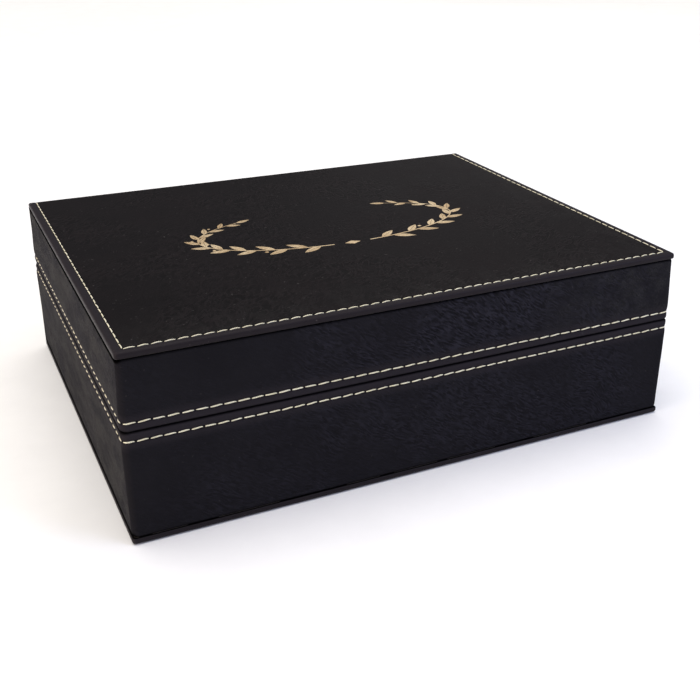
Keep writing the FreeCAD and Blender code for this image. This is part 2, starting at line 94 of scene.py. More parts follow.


# PU leatherette, a film calendered on cloth: near black, with wavy stretch creases in patches, a fine pebble
# and an uneven gloss. It is smooth where it is pulled over an edge, and paler there, partly as a painted
# highlight of the light that the rolled edges catch. Painted shade darkens it in the grooves, under the plate's
# lip, at the seam and along the stitch rows, and the creases get a painted highlight on their crests and painted
# shade in their valleys. Where it is handled, a pale haze lies on the pebble; on the end walls and the right end
# of the lid's front the same haze is also painted light. The real pebble is about 0.6 mm and is drawn coarser
# so that it shows.
def makeLeatherette(name, look):
    material, tree = newMaterial(name)
    where = addNode(tree, "ShaderNodeTexCoord").outputs["Object"]
    paintedShade, stretch, taut, handledAndLit = (addNode(tree, "ShaderNodeAttribute", attribute_name=mark).outputs["Fac"]
                                       for mark in filmMarks)
    sway = addNode(tree, "ShaderNodeTexNoise", {"Scale": perMetre(look["sway"]), "Detail": 2.0}, {"Vector": where})
    bent = addNode(tree, "ShaderNodeVectorMath", {1: (look["swayBy"] * mm,) * 3},
                   {0: sway.outputs["Color"], 2: where}, operation="MULTIPLY_ADD")
    # creases: ridges of a noise drawn out along a lean, broken into short lengths
    drawn = addNode(tree, "ShaderNodeMapping", {"Rotation": [math.radians(a) for a in look["lean"]],
                                                "Scale": [d * mm for d in look["creaseSize"]]},
                    {"Vector": bent.outputs[0]}, vector_type="TEXTURE")
    offset, gain = 6, 7  # these two inputs have names only in some kinds of noise
    ridges = addNode(tree, "ShaderNodeTexNoise", {
        "Scale": 1.0, "Detail": look["creaseDetail"], "Roughness": 0.5, "Distortion": 0.3, offset: 1.0, gain: 1.6},
        {"Vector": drawn.outputs[0]}, noise_type=look["creaseKind"])
    least, most = look["creaseRange"]
    sharp = addNode(tree, "ShaderNodeMapRange", {"From Min": least, "From Max": most},
                    {"Value": ridges.outputs["Fac"]}, interpolation_type="SMOOTHSTEP")
    breaks = addNode(tree, "ShaderNodeTexNoise", {"Scale": perMetre(look["breakSize"]), "Detail": 3.0},
                     {"Vector": bent.outputs[0]})
    broken = addNode(tree, "ShaderNodeMapRange", {"From Min": 0.34, "From Max": 0.56, "To Min": 0.2},
                     {"Value": breaks.outputs["Fac"]}, interpolation_type="SMOOTHSTEP")
    crease = addNode(tree, "ShaderNodeMix", {2: 0.45}, {0: broken.outputs[0], 3: sharp.outputs[0]})
    cloud = addNode(tree, "ShaderNodeTexNoise", {"Scale": perMetre(look["patch"]), "Detail": 1.5}, {"Vector": where})
    patch = addNode(tree, "ShaderNodeMapRange", {"From Min": 0.38, "From Max": 0.58, "To Min": look["creaseLeast"]},
                    {"Value": cloud.outputs["Fac"]}, interpolation_type="SMOOTHSTEP")
    slack = addNode(tree, "ShaderNodeMapRange", {"To Min": 1.0, "To Max": wear["slackLeast"]}, {"Value": taut})
    amount = addNode(tree, "ShaderNodeMath", {}, {0: patch.outputs[0], 1: slack.outputs[0]}, operation="MULTIPLY")
    folded = addNode(tree, "ShaderNodeMath", {}, {0: crease.outputs[0], 1: amount.outputs[0]}, operation="MULTIPLY")
    cells = addNode(tree, "ShaderNodeTexVoronoi", {"Scale": perMetre(look["grain"])}, {"Vector": bent.outputs[0]},
                    feature="DISTANCE_TO_EDGE")
    pebble = addNode(tree, "ShaderNodeMapRange", {"From Max": 0.25}, {"Value": cells.outputs["Distance"]},
                     interpolation_type="SMOOTHSTEP")
    grained = addNode(tree, "ShaderNodeMath", {1: look["grainDepth"]}, {0: pebble.outputs[0]}, operation="MULTIPLY")
    height = addNode(tree, "ShaderNodeMath", {1: look["creaseDepth"]}, {0: folded.outputs[0], 2: grained.outputs[0]},
                     operation="MULTIPLY_ADD")
    bump = addNode(tree, "ShaderNodeBump", {"Strength": look["bump"], "Distance": wear["relief"] * mm},
                   {"Height": height.outputs[0]})
    # tone: broad mottling, with a painted highlight on the crease crests and painted shade in the crease valleys
    mottle = addNode(tree, "ShaderNodeTexNoise", {"Scale": perMetre(look["mottle"]), "Detail": 5.0,
                                                  "Roughness": 0.65}, {"Vector": bent.outputs[0]})
    spread = addNode(tree, "ShaderNodeMapRange", {"From Min": 0.3, "From Max": 0.7},
                     {"Value": mottle.outputs["Fac"]})
    film = addNode(tree, "ShaderNodeMix", {6: hexColour(look["dark"]), 7: hexColour(look["light"])},
                   {0: spread.outputs[0]}, data_type="RGBA")
    crestHighlight = addNode(tree, "ShaderNodeMix", {6: hexColour(look["valleyShade"]), 7: hexColour(look["crestHighlight"])},
                    {0: crease.outputs[0]}, data_type="RGBA")
    share = addNode(tree, "ShaderNodeMath", {1: look["creaseTone"]}, {0: amount.outputs[0]}, operation="MULTIPLY")
    creaseShaded = addNode(tree, "ShaderNodeMix", {}, {0: share.outputs[0], 6: film.outputs[2], 7: crestHighlight.outputs[2]},
                   data_type="RGBA")
    # haze: clouds of pale bloom, thickest on the pebbles; it is also painted light, a painted highlight on the pebble
    # tops that brightens the end walls and the right end of the lid's front
    pulledOut = addNode(tree, "ShaderNodeMapping", {"Rotation": (math.radians(wear["hazeLean"]), 0, 0),
                                                    "Scale": (1, wear["hazeDraw"], 1)}, {"Vector": where})
    hazeAndLight = addNode(tree, "ShaderNodeTexNoise", {"Scale": perMetre(wear["hazeSize"]), "Detail": 4.0,
                                                "Roughness": 0.7}, {"Vector": pulledOut.outputs[0]})
    least, most = wear["hazeRange"]
    thin, thick = wear["hazeShare"]
    bloom = addNode(tree, "ShaderNodeMapRange", {"From Min": least, "From Max": most, "To Min": thin,
                                                 "To Max": thick},
                    {"Value": hazeAndLight.outputs["Fac"]}, interpolation_type="SMOOTHSTEP")
    litPebbles = addNode(tree, "ShaderNodeMapRange", {"To Min": 0.4, "To Max": 1.15}, {"Value": pebble.outputs[0]})
    lifted = addNode(tree, "ShaderNodeMath", {}, {0: bloom.outputs[0], 1: litPebbles.outputs[0]}, operation="MULTIPLY")
    faded = addNode(tree, "ShaderNodeMath", {}, {0: lifted.outputs[0], 1: handledAndLit}, operation="MULTIPLY")
    hazed = addNode(tree, "ShaderNodeMix", {7: hexColour(wear["hazeAndLight"])}, {0: faded.outputs[0], 6: creaseShaded.outputs[2]},
                    data_type="RGBA")
    # the pulled edges, partly a painted highlight; a few specks of lint; painted shade in the grooves, seam and stitch
    # rows
    pulledHighlight = addNode(tree, "ShaderNodeMix", {7: hexColour(look["pulledHighlight"])}, {0: stretch, 6: hazed.outputs[2]},
                     data_type="RGBA")
    lint = addNode(tree, "ShaderNodeTexNoise", {"Scale": perMetre(wear["lintSize"]), "Detail": 1.0},
                   {"Vector": bent.outputs[0]})
    speck = addNode(tree, "ShaderNodeMapRange", {"From Min": 0.735, "From Max": 0.8, "To Max": look["speck"]},
                    {"Value": lint.outputs["Fac"]})
    flecked = addNode(tree, "ShaderNodeMix", {7: hexColour(wear["lint"])}, {0: speck.outputs[0], 6: pulledHighlight.outputs[2]},
                      data_type="RGBA")
    # painted shade: the film turns near black where the groove mask is high
    grooved = addNode(tree, "ShaderNodeMix", {7: hexColour(wear["grooveShade"])}, {0: paintedShade, 6: flecked.outputs[2]},
                      data_type="RGBA")
    gloss = addNode(tree, "ShaderNodeMapRange", {"To Min": look["rough"][0], "To Max": look["rough"][1]},
                    {"Value": mottle.outputs["Fac"]})
    polish = addNode(tree, "ShaderNodeMath", {1: look["polish"]}, {0: stretch, 2: gloss.outputs[0]},
                     operation="MULTIPLY_ADD")
    dull = addNode(tree, "ShaderNodeMath", {}, {0: polish.outputs[0], 1: paintedShade}, operation="MAXIMUM")
    closeMaterial(tree, {"IOR": 1.5, "Specular IOR Level": look["shine"]},
                  {"Base Color": grooved.outputs[2], "Roughness": dull.outputs[0], "Normal": bump.outputs[0]})
    return material


# the plate copy's film, crest and pulled colours are darker than the walls': painted shade that offsets the stronger
# light on the top
plateLeather = makeLeatherette("pu_leatherette_smooth", dict(
    sway=26.0, swayBy=8.0, lean=(0, 0, 55), creaseSize=(5.5, 2.2, 2.2), breakSize=5.5,
    creaseKind="RIDGED_MULTIFRACTAL", creaseDetail=2.0, creaseRange=(0.7, 1.6), creaseLeast=0.15, creaseDepth=0.4,
    creaseTone=0.45, patch=45.0, grain=1.1, grainDepth=0.05, bump=0.7, mottle=34.0, dark="#0D0A0B", light="#151112",
    valleyShade="#050404", crestHighlight="#201B1C", pulledHighlight="#231F22", speck=0.3, rough=(0.44, 0.62), polish=-0.12, shine=0.053))
# the wall copy's colours are paler, painted light for walls that get less light than the top; its pale crests are a
# painted highlight
wallLeather = makeLeatherette("pu_leatherette_grained", dict(
    sway=18.0, swayBy=6.0, lean=(20, 32, 0), creaseSize=(2.8, 2.8, 0.6), breakSize=3.0,
    creaseKind="FBM", creaseDetail=0.3, creaseRange=(0.33, 0.67), creaseLeast=0.35, creaseDepth=0.9,
    creaseTone=0.42, patch=38.0, grain=1.2, grainDepth=0.08, bump=1.0, mottle=24.0, dark="#1A191C", light="#1E1D20",
    valleyShade="#101013", crestHighlight="#36353F", pulledHighlight="#2A272B", speck=0.1, rough=(0.46, 0.64), polish=-0.08, shine=0.0055))


# Polyester sewing thread, three plies twisted: pale cream, slightly fuzzy, dull.
ply = dict(size=0.8, relief=0.12, soil=7.0, dyed=("#EAE2C0", "#FAF4DA"), between="#BDB79C", rough=(0.62, 0.8))


def makeThread():
    material, tree = newMaterial("polyester_thread_twisted")
    where = addNode(tree, "ShaderNodeTexCoord").outputs["Object"]
    plies = addNode(tree, "ShaderNodeTexWave", {"Scale": 0.628 * perMetre(ply["size"]), "Distortion": 0.6},
                    {"Vector": where}, bands_direction="DIAGONAL")  # at scale 1 a wave is 0.628 long
    fuzz = addNode(tree, "ShaderNodeTexNoise", {"Scale": perMetre(ply["soil"]), "Detail": 3.0}, {"Vector": where})
    dirt = addNode(tree, "ShaderNodeMapRange", {"From Min": 0.35, "From Max": 0.65}, {"Value": fuzz.outputs["Fac"]})
    dyed = addNode(tree, "ShaderNodeMix", {6: hexColour(ply["dyed"][0]), 7: hexColour(ply["dyed"][1])},
                   {0: dirt.outputs[0]}, data_type="RGBA")
    # the bands between the plies darken towards the shade colour: painted shade between the plies
    shade = addNode(tree, "ShaderNodeMapRange", {"To Min": 0.25, "To Max": 1.0}, {"Value": plies.outputs["Fac"]})
    twist = addNode(tree, "ShaderNodeMix", {6: hexColour(ply["between"])}, {0: shade.outputs[0], 7: dyed.outputs[2]},
                    data_type="RGBA")
    bump = addNode(tree, "ShaderNodeBump", {"Strength": 0.7, "Distance": ply["relief"] * mm},
                   {"Height": plies.outputs["Fac"]})
    rough = addNode(tree, "ShaderNodeMapRange", {"To Min": ply["rough"][0], "To Max": ply["rough"][1]},
                    {"Value": fuzz.outputs["Fac"]})
    closeMaterial(tree, {"Sheen Weight": 0.15, "Specular IOR Level": 0.3},
                  {"Base Color": twist.outputs[2], "Roughness": rough.outputs[0], "Normal": bump.outputs[0]})
    return material


# Plain finishes that share one build: two tones mottled by a noise, a roughness range and a fine bump.
def makeMottled(name, look):
    material, tree = newMaterial(name)
    where = addNode(tree, "ShaderNodeTexCoord").outputs["Object"]
    drawn = addNode(tree, "ShaderNodeMapping", {"Scale": look.get("stretch", (1, 1, 1))}, {"Vector": where})
    broad = addNode(tree, "ShaderNodeTexNoise", {"Scale": perMetre(look["broad"]), "Detail": 3.0},
                    {"Vector": drawn.outputs[0]})
    fine = addNode(tree, "ShaderNodeTexNoise", {"Scale": perMetre(look["fine"]), "Detail": 4.0, "Roughness": 0.65},
                   {"Vector": drawn.outputs[0]})
    both = addNode(tree, "ShaderNodeMath", {}, {0: broad.outputs["Fac"], 1: fine.outputs["Fac"]}, operation="ADD")
    tone = addNode(tree, "ShaderNodeMapRange", {"From Min": 0.75, "From Max": 1.25}, {"Value": both.outputs[0]})
    paint = addNode(tree, "ShaderNodeMix", {6: hexColour(look["dark"]), 7: hexColour(look["light"])},
                    {0: tone.outputs[0]}, data_type="RGBA")
    rough = addNode(tree, "ShaderNodeMapRange", {"To Min": look["rough"][0], "To Max": look["rough"][1]},
                    {"Value": fine.outputs["Fac"]})
    bump = addNode(tree, "ShaderNodeBump", {"Strength": look["bump"], "Distance": look["depth"] * mm},
                   {"Height": fine.outputs["Fac"]})
    closeMaterial(tree, look.get("sockets", {}),
                  {"Base Color": paint.outputs[2], "Roughness": rough.outputs[0], "Normal": bump.outputs[0]})
    return material


thread = makeThread()
# needle holes: near-black discs, the cut film with painted shadow inside each hole
needleHoleShadow = makeMottled("needle_hole_shadow", dict(
    broad=3.0, fine=0.8, dark="#050505", light="#0A090A", rough=(0.8, 0.95), bump=0.4, depth=0.1,
    sockets={"Specular IOR Level": 0.1}))
# cotton velvet, cut pile glued on card: very dark, with a pale bloom where the pile turns
velvet = makeMottled("cotton_velvet_cut_pile", dict(
    broad=18.0, fine=0.9, dark="#121113", light="#232225", rough=(0.85, 1.0), bump=0.6, depth=0.25,
    sockets={"Sheen Weight": 0.35, "Sheen Roughness": 0.4, "Specular IOR Level": 0.1}))
# grey-brown fibreboard, dyed dark: fibre flecks, dull
fibreboard = makeMottled("fibreboard_pressed", dict(
    broad=6.0, fine=0.7, dark="#2B2723", light="#3A352F", rough=(0.8, 0.95), bump=0.5, depth=0.1))
# nickel-plated magnet: bright metal with faint rolling marks
nickel = makeMottled("nickel_plated_steel", dict(
    broad=4.0, fine=0.5, dark="#A9A8A4", light="#C4C3BE", rough=(0.22, 0.36), bump=0.15, depth=0.02,
    stretch=(0.2, 1, 1), sockets={"Metallic": 1.0}))
# hot-stamped gold foil on leatherette: warm metal, a little broken by the grain under it
foil = makeMottled("gold_foil_hot_stamped", dict(
    broad=9.0, fine=0.9, dark="#BFA175", light="#E8D3AC", rough=(0.36, 0.54), bump=0.5, depth=0.08,
    sockets={"Metallic": 0.55}))
# white painted floor
floorPaint = makeMottled("floor_paint_matt", dict(
    broad=400.0, fine=30.0, dark="#F1F1F0", light="#F6F6F5", rough=(0.7, 0.85), bump=0.05, depth=0.2,
    sockets={"Specular IOR Level": 0.1}))
print("materials made")


def addPiece(name, bm, materials, body, nodes, turnOut=True):
    if turnOut:
        bmesh.ops.recalc_face_normals(bm, faces=bm.faces)
    for face in bm.faces:
        face.smooth = True
    mesh = bpy.data.meshes.new(name)
    bm.to_mesh(mesh)
    bm.free()
    for material in materials:
        mesh.materials.append(material)
    piece = bpy.data.objects.new(name, mesh)
    bpy.context.scene.collection.objects.link(piece)
    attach(piece, body)
    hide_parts(*nodes)
    print("piece", name, len(mesh.polygons), "faces")


def growLoop(bm, edges):  # extrudes an open or closed chain, gives its new vertices and edges
    grown = bmesh.ops.extrude_edge_only(bm, edges=edges)["geom"]
    verts = [g for g in grown if isinstance(g, bmesh.types.BMVert)]
    fresh = set(verts)
    chain = [g for g in grown if isinstance(g, bmesh.types.BMEdge) and set(g.verts) <= fresh]
    return verts, chain


def closeEnds(bm):  # caps what is open, with a crisp edge round each cap
    rim = [e for e in bm.edges if e.is_boundary]
    for edge in rim:
        edge.smooth = False
    bmesh.ops.holes_fill(bm, edges=rim, sides=0)


def markLayers(bm):  # one number per point for each mark that the leatherette reads
    return [bm.verts.layers.float.new(mark) for mark in filmMarks]


def arc(centre, radius, start, end, steps):  # points of an arc in a profile, in mm
    turns = [math.radians(start + (end - start) * i / steps) for i in range(steps + 1)]
    return [(centre[0] + radius * math.cos(t), centre[1] + radius * math.sin(t)) for t in turns]


# side bands: leatherette round the front and two sides, with a hem rolled over the rim and turned inside
# the two dark reaches below are painted shade, under the plate's lip and on the rim's roll at the seam; the haze on
# the lid front's right end is also painted light
band = dict(corner=3.0, cornerSteps=6, cuts=54, rimRound=1.1, hem=10.0, shoulder=1.3, taper=0.6, skin=0.6,
            wall=6.2, boardIn=1.2, turnIn=14.0, rowAt=3.65, rowDepth=0.26, rowWidth=0.7, ripple=0.07,
            rippleRate=(0.045, 0.09), grooveShade=(1.2, 2.6), rimShade=(0.65, 1.4), fade=4.0, backRoll=3.0, rollRun=2.4,
            sideTight=0.3, smooth=dict(lid=(-85.0, -15.0, 85.0, 120.0), base=(-110.0, -50.0, 85.0, 120.0)),
            tight=dict(lid=0.0, base=0.4), hazeAndLightEnd=dict(lid=0.45, base=0.0), hazeFrom=(40.0, 60.0))


def sideBand(half, toward):
    low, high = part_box(half + "_side_leatherette")
    rimZ, plateZ = (low.z, high.z) if toward > 0 else (high.z, low.z)
    tall = abs(plateZ - rimZ) / mm
    hemX, hemY, corner = high.x / mm, low.y / mm, band["corner"]
    cx, cy = hemX - corner, hemY + corner
    outer, board, inner = corner, corner - band["boardIn"], corner - band["wall"] - band["skin"]
    waist = outer - band["taper"]

    # profile as (offset from the corner's centre, distance from the rim), from under the plate to the turn-in
    round1, round2 = band["shoulder"], band["rimRound"]
    profile = [(board, tall)] + arc((waist - round1, tall - round1), round1, 90, 0, 4)
    drop = tall - round1 - band["hem"]
    steps = max(4, round(drop / 4))
    for down in [0.5, 1.2, 2.2] + [drop * i / steps for i in range(1, steps + 1)]:
        profile.append((waist + band["taper"] * down / drop, tall - round1 - down))
    row, deep = band["rowAt"], band["rowDepth"]
    profile += [(outer + 0.05, 7.6), (outer + 0.04, 5.8), (outer - deep * 0.2, row + 1.2),
                (outer - deep * 0.8, row + 0.5), (outer - deep, row), (outer - deep * 0.8, row - 0.45),
                (outer - deep * 0.2, row - 0.95)]
    profile += arc((outer - round2, round2), round2, 0, -90, 6)
    profile += [(1.0, 0.0)] + arc((inner + 0.5, 0.5), 0.5, -90, -180, 3)
    profile += [(inner, 6.0), (inner, band["turnIn"]), (inner + band["skin"], band["turnIn"]),
                (inner + band["skin"], band["skin"]), (board, band["skin"]), (board, tall)]

    bm = bmesh.new()
    corners = [bm.verts.new((x * mm, y * mm, 0)) for x, y in
               ((-hemX, high.y / mm), (-hemX, hemY), (hemX, hemY), (hemX, high.y / mm))]
    bm.faces.new(corners)
    bmesh.ops.bevel(bm, geom=corners[1:3], offset=corner * mm, segments=band["cornerSteps"], profile=0.5,
                    affect="VERTICES", material=-1)
    back = [e for e in bm.edges if all(abs(v.co.y - high.y) < 1e-6 for v in e.verts)]
    bmesh.ops.delete(bm, geom=back, context="EDGES")
    runs = [e for e in bm.edges if e.calc_length() > 20 * mm]
    bmesh.ops.subdivide_edges(bm, edges=runs, cuts=band["cuts"])

    spine = bm.verts.layers.float_vector.new("spine")
    outward = bm.verts.layers.float_vector.new("outward")
    paintedShade, stretch, taut, handledAndLit = markLayers(bm)
    for v in bm.verts:
        x, y = v.co.x / mm, v.co.y / mm
        side = math.copysign(1.0, x)
        if y > cy - 1e-3:
            v[spine], v[outward] = (side * cx, y, 0), (side, 0, 0)
        elif abs(x) < cx + 1e-3:
            v[spine], v[outward] = (x, cy, 0), (0, -1, 0)
        else:
            v[spine] = (side * cx, cy, 0)
            v[outward] = Vector((x - side * cx, y - cy, 0)).normalized()

    def place(v, offset, above):
        if offset > outer - 1.5 and above > 0.5:  # the film never lies quite flat
            along, upward = band["rippleRate"]
            offset += band["ripple"] * noise.noise(Vector(v[spine]) * along + Vector((0, 0, above * upward * toward)))
        roll = band["backRoll"]
        over = max(0.0, v[spine].y - high.y / mm + band["rollRun"])
        if above < roll:  # near the hinge the rim rises like the roll of the back
            above += (roll - above) / roll * (roll - math.sqrt(roll * roll - over * over))
        at = Vector(v[spine]) + Vector(v[outward]) * offset
        if offset < 0:  # the inside corner is sharp
            at.x = max(-cx - offset, min(cx + offset, at.x))
            at.y = max(cy - offset, at.y)
        v.co = (at.x * mm, at.y * mm, rimZ + toward * above * mm)
        aside = abs(v[outward].x)
        # painted shade under the plate's lip, on the rim's roll at the seam, and along the stitch row
        grooveShade, rimShade = ((1 - aside) * front + aside * side for front, side in (band["grooveShade"], band["rimShade"]))
        v[paintedShade] = max(0.0, min(1.0, grooveShade - tall + above))
        if outer - offset < min(0.9, band["rimRound"]) and above < rimShade:
            v[paintedShade] = 1 - above / rimShade
        if offset > outer - 0.5:
            v[paintedShade] = max(v[paintedShade], 0.5 * math.exp(-((above - band["rowAt"]) / band["rowWidth"]) ** 2))
        # the pale pulled tone near the rim is partly a painted highlight on the roll
        v[stretch] = min(1.0, max(0.0, 1 - (above - band["rowAt"]) / band["fade"]))
        tight = band["sideTight"]
        x, (a, b, c, d) = v[spine].x, band["smooth"][half]
        if aside < 0.5:  # the front is tight at its ends and creases between
            tight = 0.9 * min(1.0, max(band["tight"][half], (b - x) / (b - a), (x - c) / (d - c)))
        v[taut] = max(v[stretch], tight, 0.9 if 0.1 < aside < 0.99 else 0.0)
        # haze on the end walls and on the lid front's right end: pale bloom, also painted light
        start, run = band["hazeFrom"]
        v[handledAndLit] = 1.0 if aside > 0.99 else band["hazeAndLightEnd"][half] * min(1.0, max(0.0, x - start) / run)

    for v in bm.verts:
        place(v, *profile[0])
    chain = list(bm.edges)
    for step in profile[1:]:
        verts, chain = growLoop(bm, chain)
        for v in verts:
            place(v, *step)
    bmesh.ops.remove_doubles(bm, verts=bm.verts, dist=1e-6)
    closeEnds(bm)
    addPiece(half + "_side_cover", bm, [wallLeather], half, [half + "_side_leatherette"])


sideBand("lid", 1)
sideBand("base", -1)

# plates: leatherette wrapped round the top and bottom boards, rolled over the edges
plate = dict(corner=1.5, edgeRound=1.2, lowRound=0.65, backRound=2.0, under=6.0, rowIn=3.7, rowDepth=0.2,
             rowWidth=0.6, rowDark=0.7, crown=0.05, crownIn=2.0, pitch=9.0, pulledRun=0.8,
             rubbed=0.28, rubbedRun=18.0)
edgeLines = [0, 0.06, 0.22, 0.46, 0.8, 1.2, 1.6, 2.0, 2.5, 2.9, 3.2, 3.45, 3.7, 3.95, 4.2, 4.5, 5.0, 6.2]
backLines = [0, 0.1, 0.34, 0.72, 1.25, 2.0, 3.4, 6.0]


def plateCover(half, node, toward, stitched):
    low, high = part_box(node)
    faceZ, innerZ = (high.z, low.z) if toward > 0 else (low.z, high.z)
    sideX, frontY, backY = high.x / mm, low.y / mm, high.y / mm
    corner = plate["corner"]

    def spread(start, end):  # even lines between two places
        count = max(2, round((end - start) / plate["pitch"]))
        return [start + (end - start) * i / count for i in range(1, count)]

    rim, backRim = edgeLines[-1], backLines[-1]
    xs = [-sideX + d for d in edgeLines] + spread(-sideX + rim, sideX - rim) + [sideX - d for d in edgeLines[::-1]]
    ys = [frontY + d for d in edgeLines] + spread(frontY + rim, backY - backRim) + [backY - d for d in backLines[::-1]]

    bm = bmesh.new()
    bmesh.ops.create_grid(bm, x_segments=len(xs) - 1, y_segments=len(ys) - 1, size=1.0)
    outward = bm.verts.layers.float_vector.new("outward")
    paintedShade, stretch, taut, handledAndLit = markLayers(bm)
    for v in bm.verts:
        x = xs[round((v.co.x + 1) / 2 * (len(xs) - 1))]
        y = ys[round((v.co.y + 1) / 2 * (len(ys) - 1))]
        side = math.copysign(1.0, x)
        dx, dy, db = sideX - abs(x), y - frontY, backY - y
        edge = min(dx, dy)
        v[outward] = (side, 0, 0) if dx <= dy and dx < 1e-6 else (0, -1, 0) if dy < 1e-6 else (0, 0, 0)
        if dx < corner and dy < corner:  # square rings of the grid become round corners
            ring = corner - edge
            turn = (corner - dy) / ring * 45 if dx <= dy else 90 - (corner - dx) / ring * 45
            aim = Vector((side * math.cos(math.radians(turn)), -math.sin(math.radians(turn)), 0))
            x = side * (sideX - corner) + aim.x * ring
            y = frontY + corner + aim.y * ring
            if edge < 1e-6:
                v[outward] = aim
        fall = 0.0
        if edge < plate["edgeRound"]:
            r = plate["edgeRound"]
            fall = r - math.sqrt(max(0.0, r * r - (r - edge) ** 2))
        if db < plate["backRound"]:
            r = plate["backRound"]
            fall = max(fall, r - math.sqrt(max(0.0, r * r - (r - db) ** 2)))
        if stitched:  # the thread draws the film down along its row
            fall += plate["rowDepth"] * math.exp(-((edge - plate["rowIn"]) / plate["rowWidth"]) ** 2)
            # painted shade along the stitch row
            v[paintedShade] = 0.55 * math.exp(-((edge - plate["rowIn"]) / plate["rowDark"]) ** 2)
            fall -= plate["crown"] * math.exp(-((edge - plate["crownIn"]) / plate["rowDark"]) ** 2)
            v[handledAndLit] = plate["rubbed"] * math.exp(-(min(dy, sideX - x) / plate["rubbedRun"]) ** 2)
        # the pale pulled tone over the rolled edge is partly a painted highlight
        fade = plate["pulledRun"]
        v[stretch] = v[taut] = min(1.0, max(0.0, (plate["rowIn"] + fade / 2 - edge) / fade))
        v.co = (x * mm, y * mm, faceZ - toward * fall * mm)

    # the edge goes on down, rolls under and turns in over the board
    tall = abs(faceZ - innerZ) / mm
    r = plate["lowRound"]
    steps = [(0.0, r + (tall - r - plate["edgeRound"]) * 0.5), (0.0, r)]
    steps += [(r * (1 - math.cos(math.radians(a))), r - r * math.sin(math.radians(a))) for a in (22.5, 45, 67.5, 90)]
    steps.append((plate["under"], 0.0))
    chain = [e for e in bm.edges if e.is_boundary]
    inset = 0.0
    for step, above in steps:
        verts, chain = growLoop(bm, chain)
        for v in verts:
            v.co.x -= v[outward].x * (step - inset) * mm
            v.co.y -= v[outward].y * (step - inset) * mm
            v.co.z = min(v.co.z, innerZ + above * mm) if toward > 0 else max(v.co.z, innerZ - above * mm)
            # painted shade on the film turned in under the board
            v[paintedShade] = 1.0 if above < 0.1 else 0.0
        inset = step
    closeEnds(bm)
    name = half + ("_top_cover" if toward > 0 else "_bottom_cover")
    addPiece(name, bm, [plateLeather], half, [node])


plateCover("lid", "lid_top_leatherette", 1, True)
plateCover("base", "base_bottom_leatherette", -1, False)

# back covers and hinge liners: one profile in the upright plane, drawn along the box's length
hinge = dict(roll=3.0, skin=0.6, cuts=24, sag=0.05, sagRate=(28, 40), tight=0.6, levels=8, linerGap=0.3,
             foldGap=0.03, fold=0.38, foldSides=16, foldCuts=60, foldEdge=0.1, pucker=(0.02, 1.9))


def drawnProfile(points, halfLength, ripple):  # points are (y, z) in mm
    bm = bmesh.new()
    face = bm.faces.new([bm.verts.new((-halfLength * mm, y * mm, z * mm)) for y, z in points])
    ends = list(face.edges)
    grown = bmesh.ops.extrude_face_region(bm, geom=[face])["geom"]
    verts = [g for g in grown if isinstance(g, bmesh.types.BMVert)]
    bmesh.ops.translate(bm, verts=verts, vec=(2 * halfLength * mm, 0, 0))
    ends += [g for g in grown if isinstance(g, bmesh.types.BMEdge)]
    for edge in ends:
        edge.smooth = False
    runs = [e for e in bm.edges if e.calc_length() > halfLength * mm]
    bmesh.ops.subdivide_edges(bm, edges=runs, cuts=hinge["cuts"])
    taut = bm.verts.layers.float.new("taut")
    along, upward = hinge["sagRate"]
    for v in bm.verts:
        v[taut] = hinge["tight"]
        v.co.y += ripple * mm * noise.noise(Vector((v.co.x * along, 0, v.co.z * upward)))
    return bm


axisY = frame["joints"][0]["pos_m"][1] / mm
axisZ = frame["joints"][0]["pos_m"][2] / mm
for half, toward in (("lid", 1), ("base", -1)):
    low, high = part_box(half + "_back_leatherette")
    rimZ = (low.z if toward > 0 else high.z) / mm
    plateZ = (high.z if toward > 0 else low.z) / mm
    backY, startY, r = high.y / mm, low.y / mm, hinge["roll"]
    skin = hinge["skin"]
    outer = arc((0, 0), r, 0, -90, 8)
    inner = arc((0, 0), r - skin, -90, 0, 8)
    tall = (plateZ - rimZ) * toward - r
    levels = [tall * (1 - i / hinge["levels"]) for i in range(hinge["levels"])]
    points = [(backY, rimZ + toward * (r + up)) for up in levels]
    points += [(startY + y, rimZ + toward * (r + z)) for y, z in outer]
    points += [(startY + y, rimZ + toward * (r + z)) for y, z in inner]
    points.append((backY - skin, plateZ))
    bm = drawnProfile(points, high.x / mm, -hinge["sag"])
    addPiece(half + "_back_cover", bm, [wallLeather], half, [half + "_back_leatherette"])

    # liner over the inner back wall and rim, thinned over the roll until it meets the fold
    low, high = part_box(half + "_hinge_strip")
    innerY, glueY = low.y / mm, low.y / mm + skin
    farZ = (high.z if toward > 0 else low.z) / mm
    onRoll = [startY + d for d in (0.0, 0.4, 0.8, 1.1)]
    rollAt = lambda y: rimZ + toward * (r - math.sqrt(r * r - (y - startY) ** 2))
    middle = axisZ + toward * hinge["foldGap"]
    top = lambda y: middle + (rollAt(y) - middle) * min(0.9, 0.1 + 0.35 * (y - startY))  # parts as the roll opens
    points = [(innerY, farZ), (innerY, rimZ + toward * 6), (innerY, rimZ + toward * 0.6),
              (innerY + 0.15, rimZ + toward * 0.2), (innerY + 0.55, rimZ + toward * 0.02), (startY - 1.0, rimZ)]
    points += [(y, top(y)) for y in onRoll] + [(y, rollAt(y) - toward * 0.005) for y in onRoll[::-1]]
    points += [(startY, rimZ + toward * skin), (glueY, rimZ + toward * skin), (glueY, farZ)]
    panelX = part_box("lid_ceiling_panel" if toward > 0 else "base_floor_panel")[1].x / mm
    bm = drawnProfile(points, panelX - hinge["linerGap"], 0.0)
    addPiece(half + "_hinge_liner", bm, [wallLeather], half, [half + "_hinge_strip"])

